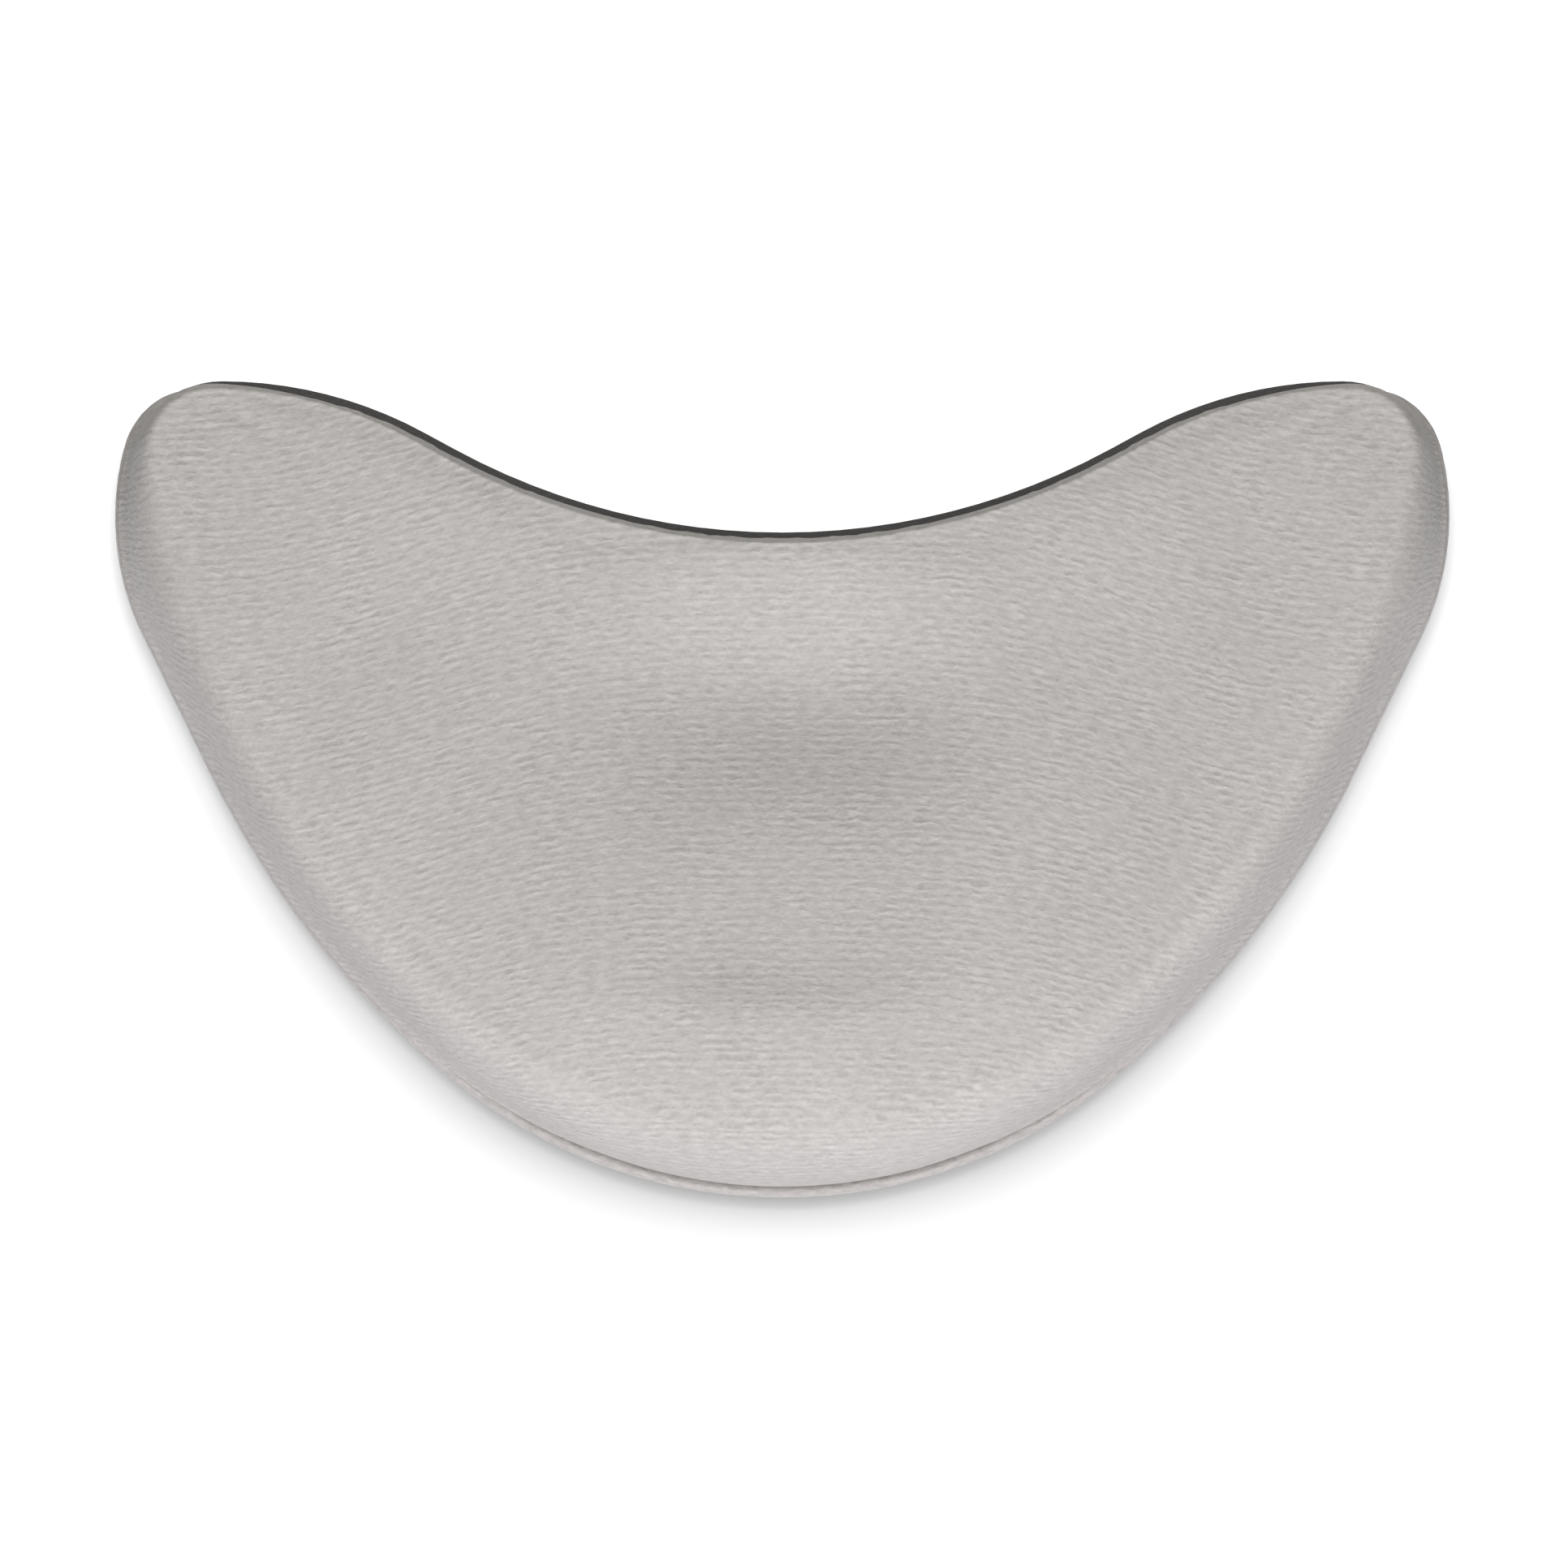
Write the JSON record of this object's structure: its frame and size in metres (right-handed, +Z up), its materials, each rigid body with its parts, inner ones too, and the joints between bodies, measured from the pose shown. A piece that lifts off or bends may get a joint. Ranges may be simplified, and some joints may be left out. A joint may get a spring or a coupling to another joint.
{
  "type": "armrest pad",
  "caption": "Crescent armrest pad: knit cover with a piped convex edge over foam on a plywood carrier, closed below by a moulded shell with bolt bores.",
  "frame": {"origin": "on the underside, below the middle of the bounding box", "axes": "+X from horn to horn, to the right seen from above with the concave edge at the top; +Y from the convex front edge to the concave rear edge; +Z up"},
  "size_m": [0.243, 0.1492, 0.03],
  "materials": {
    "knit": "pale grey rib knit",
    "piping": "pale grey rib knit drawn over cord",
    "thread": "grey polyester thread",
    "cord": "twisted cotton cord",
    "soft_foam": "open-cell polyurethane foam",
    "firm_foam": "firm open-cell polyurethane foam",
    "plywood": "bare birch plywood",
    "insert_brass": "machined",
    "staple_wire": "galvanised wire",
    "shell_plastic": "fine moulded grain, charcoal",
    "screw_steel": "dark zinc"
  },
  "bodies": {
    "root": {"cover_top_panel": "knit", "cover_hem": "knit", "cover_welt": "piping", "welt_cord": "cord", "seam_thread": "thread", "comfort_foam": "soft_foam", "foam_core": "firm_foam", "carrier_plate": "plywood", "threaded_inserts": "insert_brass", "cover_staples": "staple_wire", "under_cover": "shell_plastic", "under_cover_screws": "screw_steel"}
  },
  "joints": []
}
